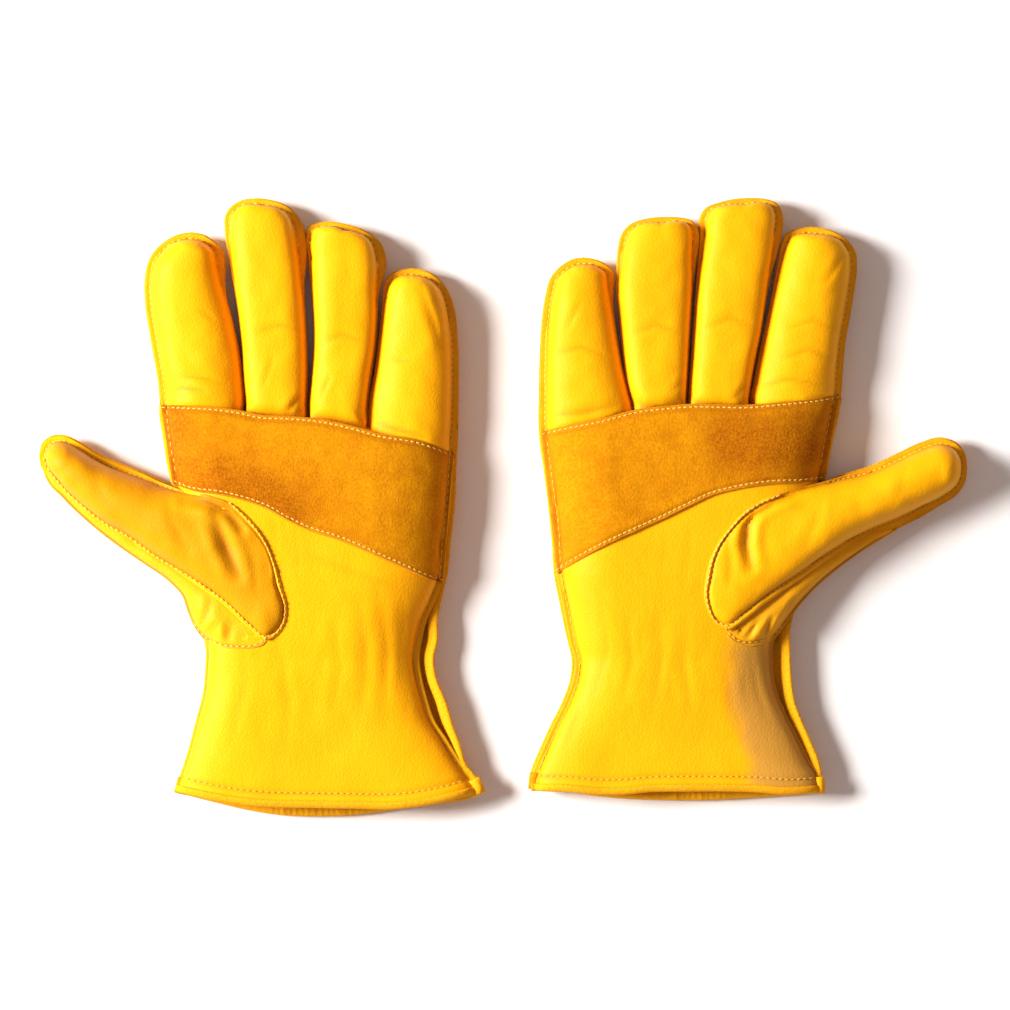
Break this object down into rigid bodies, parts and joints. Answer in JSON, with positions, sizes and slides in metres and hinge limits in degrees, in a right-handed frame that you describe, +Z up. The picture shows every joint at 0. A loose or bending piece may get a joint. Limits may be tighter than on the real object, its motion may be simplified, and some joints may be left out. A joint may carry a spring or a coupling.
{
  "type": "leather work gloves",
  "caption": "Yellow leather work gloves lying palms up, with outward seams round every stall, a suede palm patch, a gathered wrist and a short flared cuff.",
  "frame": {"origin": "middle of the pair's bounding box, at the table surface under the gloves", "axes": "+X across both gloves from the left glove to the right glove, +Y from the cuffs towards the fingertips, +Z up out of the palms"},
  "size_m": [0.3779, 0.2494, 0.0259],
  "materials": {
    "grain_leather": "bright yellow grain leather, semi-matt",
    "thumb_leather": "ochre yellow grain leather, semi-matt",
    "suede": "orange split leather, napped and matt",
    "elastic": "off-white braided elastic, matt"
  },
  "bodies": {
    "left hand": {"left_palm_panel": "grain_leather", "left_back_panel": "grain_leather", "left_palm_patch": "suede", "left_thumb_root": "grain_leather", "left_hem_binding_front": "grain_leather", "left_hem_binding_back": "grain_leather", "left_wrist_elastic": "elastic"},
    "left index lower": {"left_index_lower_front": "grain_leather", "left_index_lower_back": "grain_leather"},
    "left index tip": {"left_index_tip_front": "grain_leather", "left_index_tip_back": "grain_leather"},
    "left middle lower": {"left_middle_lower_front": "grain_leather", "left_middle_lower_back": "grain_leather"},
    "left middle tip": {"left_middle_tip_front": "grain_leather", "left_middle_tip_back": "grain_leather"},
    "left ring lower": {"left_ring_lower_front": "grain_leather", "left_ring_lower_back": "grain_leather"},
    "left ring tip": {"left_ring_tip_front": "grain_leather", "left_ring_tip_back": "grain_leather"},
    "left little lower": {"left_little_lower_front": "grain_leather", "left_little_lower_back": "grain_leather"},
    "left little tip": {"left_little_tip_front": "grain_leather", "left_little_tip_back": "grain_leather"},
    "left thumb lower": {"left_thumb_lower_front": "thumb_leather", "left_thumb_lower_back": "thumb_leather"},
    "left thumb tip": {"left_thumb_tip_front": "thumb_leather", "left_thumb_tip_back": "thumb_leather"},
    "right hand": {"right_palm_panel": "grain_leather", "right_back_panel": "grain_leather", "right_palm_patch": "suede", "right_thumb_root": "grain_leather", "right_hem_binding_front": "grain_leather", "right_hem_binding_back": "grain_leather", "right_wrist_elastic": "elastic"},
    "right index lower": {"right_index_lower_front": "grain_leather", "right_index_lower_back": "grain_leather"},
    "right index tip": {"right_index_tip_front": "grain_leather", "right_index_tip_back": "grain_leather"},
    "right middle lower": {"right_middle_lower_front": "grain_leather", "right_middle_lower_back": "grain_leather"},
    "right middle tip": {"right_middle_tip_front": "grain_leather", "right_middle_tip_back": "grain_leather"},
    "right ring lower": {"right_ring_lower_front": "grain_leather", "right_ring_lower_back": "grain_leather"},
    "right ring tip": {"right_ring_tip_front": "grain_leather", "right_ring_tip_back": "grain_leather"},
    "right little lower": {"right_little_lower_front": "grain_leather", "right_little_lower_back": "grain_leather"},
    "right little tip": {"right_little_tip_front": "grain_leather", "right_little_tip_back": "grain_leather"},
    "right thumb lower": {"right_thumb_lower_front": "thumb_leather", "right_thumb_lower_back": "thumb_leather"},
    "right thumb tip": {"right_thumb_tip_front": "thumb_leather", "right_thumb_tip_back": "thumb_leather"}
  },
  "joints": [
    {"name": "right_glove_lift", "type": "slide", "parent": "left hand", "child": "right hand", "axis": [0, 0, 1], "range_m": [0, 0.3]},
    {"name": "left_index_base_bend", "type": "hinge", "parent": "left hand", "child": "left index lower", "pos_m": [-0.12245, 0.042, 0.02], "axis": [1, 0, 0], "range_deg": [0, 80]},
    {"name": "left_index_knuckle_bend", "type": "hinge", "parent": "left index lower", "child": "left index tip", "pos_m": [-0.12701, 0.07077, 0.02], "axis": [1, 0, 0], "range_deg": [0, 90]},
    {"name": "left_middle_base_bend", "type": "hinge", "parent": "left hand", "child": "left middle lower", "pos_m": [-0.0919, 0.0375, 0.02], "axis": [1, 0, 0], "range_deg": [0, 80]},
    {"name": "left_middle_knuckle_bend", "type": "hinge", "parent": "left middle lower", "child": "left middle tip", "pos_m": [-0.0942, 0.07404, 0.02], "axis": [1, 0, 0], "range_deg": [0, 90]},
    {"name": "left_ring_base_bend", "type": "hinge", "parent": "left hand", "child": "left ring lower", "pos_m": [-0.06635, 0.036, 0.02], "axis": [1, 0, 0], "range_deg": [0, 80]},
    {"name": "left_ring_knuckle_bend", "type": "hinge", "parent": "left ring lower", "child": "left ring tip", "pos_m": [-0.06438, 0.06918, 0.02], "axis": [1, 0, 0], "range_deg": [0, 90]},
    {"name": "left_little_base_bend", "type": "hinge", "parent": "left hand", "child": "left little lower", "pos_m": [-0.0362, 0.0315, 0.02], "axis": [1, 0, 0], "range_deg": [0, 80]},
    {"name": "left_little_knuckle_bend", "type": "hinge", "parent": "left little lower", "child": "left little tip", "pos_m": [-0.03502, 0.05859, 0.02], "axis": [1, 0, 0], "range_deg": [0, 90]},
    {"name": "left_thumb_base_bend", "type": "hinge", "parent": "left hand", "child": "left thumb lower", "pos_m": [-0.14107, -0.007, 0.026], "axis": [0.5592, 0.829, 0], "range_deg": [0, 50]},
    {"name": "left_thumb_knuckle_bend", "type": "hinge", "parent": "left thumb lower", "child": "left thumb tip", "pos_m": [-0.16296, 0.00776, 0.026], "axis": [0.5592, 0.829, 0], "range_deg": [0, 70]},
    {"name": "right_index_base_bend", "type": "hinge", "parent": "right hand", "child": "right index lower", "pos_m": [0.11945, 0.043, 0.02], "axis": [1, 0, 0], "range_deg": [0, 80]},
    {"name": "right_index_knuckle_bend", "type": "hinge", "parent": "right index lower", "child": "right index tip", "pos_m": [0.12432, 0.0724, 0.02], "axis": [1, 0, 0], "range_deg": [0, 90]},
    {"name": "right_middle_base_bend", "type": "hinge", "parent": "right hand", "child": "right middle lower", "pos_m": [0.0882, 0.0405, 0.02], "axis": [1, 0, 0], "range_deg": [0, 80]},
    {"name": "right_middle_knuckle_bend", "type": "hinge", "parent": "right middle lower", "child": "right middle tip", "pos_m": [0.09256, 0.07599, 0.02], "axis": [1, 0, 0], "range_deg": [0, 90]},
    {"name": "right_ring_base_bend", "type": "hinge", "parent": "right hand", "child": "right ring lower", "pos_m": [0.0632, 0.04, 0.02], "axis": [1, 0, 0], "range_deg": [0, 80]},
    {"name": "right_ring_knuckle_bend", "type": "hinge", "parent": "right ring lower", "child": "right ring tip", "pos_m": [0.06348, 0.07234, 0.02], "axis": [1, 0, 0], "range_deg": [0, 90]},
    {"name": "right_little_base_bend", "type": "hinge", "parent": "right hand", "child": "right little lower", "pos_m": [0.0327, 0.033, 0.02], "axis": [1, 0, 0], "range_deg": [0, 80]},
    {"name": "right_little_knuckle_bend", "type": "hinge", "parent": "right little lower", "child": "right little tip", "pos_m": [0.03121, 0.06135, 0.02], "axis": [1, 0, 0], "range_deg": [0, 90]},
    {"name": "right_thumb_base_bend", "type": "hinge", "parent": "right hand", "child": "right thumb lower", "pos_m": [0.13861, -0.004, 0.026], "axis": [0.454, -0.891, 0], "range_deg": [0, 50]},
    {"name": "right_thumb_knuckle_bend", "type": "hinge", "parent": "right thumb lower", "child": "right thumb tip", "pos_m": [0.16213, 0.00799, 0.026], "axis": [0.454, -0.891, 0], "range_deg": [0, 70]}
  ]
}
